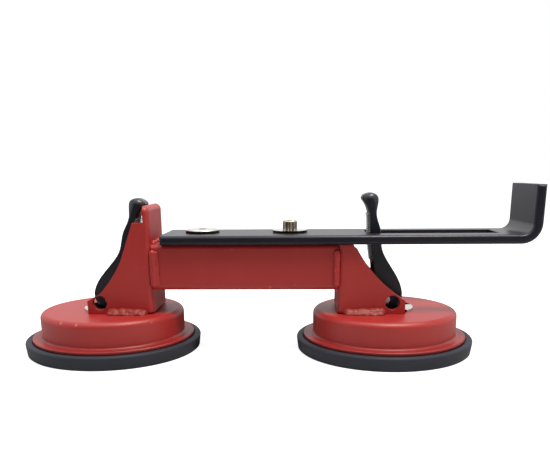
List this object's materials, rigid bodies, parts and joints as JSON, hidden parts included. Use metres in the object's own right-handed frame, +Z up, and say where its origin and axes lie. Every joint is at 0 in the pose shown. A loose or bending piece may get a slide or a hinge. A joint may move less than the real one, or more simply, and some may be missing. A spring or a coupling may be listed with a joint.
{
  "type": "floor tile suction lifter",
  "caption": "Floor tile lifter with lever suction cups at the ends of a red crossbar and a black slotted pull bar that turns up into a striking plate.",
  "frame": {"origin": "on the floor, under the middle of the whole tool", "axes": "+X along the crossbar towards the pull bar's upturned end, +Z up"},
  "size_m": [0.3428, 0.12, 0.1107],
  "materials": {
    "red_paint": "satin red enamel",
    "black_paint": "satin black enamel",
    "black_rubber": "moulded rubber",
    "lever_black": "glass filled nylon",
    "bright_steel": "bright steel",
    "plated_steel": "zinc plated steel"
  },
  "bodies": {
    "frame": {"suction_pad_left": "black_rubber", "suction_pad_right": "black_rubber", "cup_shell_left": "red_paint", "cup_shell_right": "red_paint", "wear_washer_left": "bright_steel", "wear_washer_right": "bright_steel", "bracket_left": "red_paint", "bracket_right": "red_paint", "foot_welds_left": "red_paint", "foot_welds_right": "red_paint", "tube_welds_left": "red_paint", "tube_welds_right": "red_paint", "crossbar_tube": "red_paint", "pull_bar": "black_paint", "cap_screw": "bright_steel", "low_head_screw": "bright_steel", "penny_washer": "bright_steel", "cap_screw_nut": "plated_steel", "low_head_nut": "plated_steel"},
    "left_stud": {"lift_stud_left": "plated_steel", "backing_plate_left": "plated_steel", "pivot_pin_left": "bright_steel"},
    "left_lever": {"cam_lever_left": "lever_black"},
    "right_stud": {"lift_stud_right": "plated_steel", "backing_plate_right": "plated_steel", "pivot_pin_right": "bright_steel"},
    "right_lever": {"cam_lever_right": "lever_black"}
  },
  "joints": [
    {"name": "left_stud_slide", "type": "slide", "parent": "frame", "child": "left_stud", "axis": [0, 0, 1], "range_m": [0, 0.00665]},
    {"name": "left_lever_turn", "type": "hinge", "parent": "left_stud", "child": "left_lever", "pos_m": [-0.11135, 0, 0.035], "axis": [0, -1, 0], "range_deg": [0, 109]},
    {"name": "right_stud_slide", "type": "slide", "parent": "frame", "child": "right_stud", "axis": [0, 0, 1], "range_m": [0, 0.00665]},
    {"name": "right_lever_turn", "type": "hinge", "parent": "right_stud", "child": "right_lever", "pos_m": [0.07715, 0, 0.035], "axis": [0, 1, 0], "range_deg": [0, 100]}
  ],
  "couplings": [
    {"joint": "left_stud_slide", "follows": "left_lever_turn", "m_per_rad": 0.0034693},
    {"joint": "right_stud_slide", "follows": "right_lever_turn", "m_per_rad": 0.0037815}
  ]
}
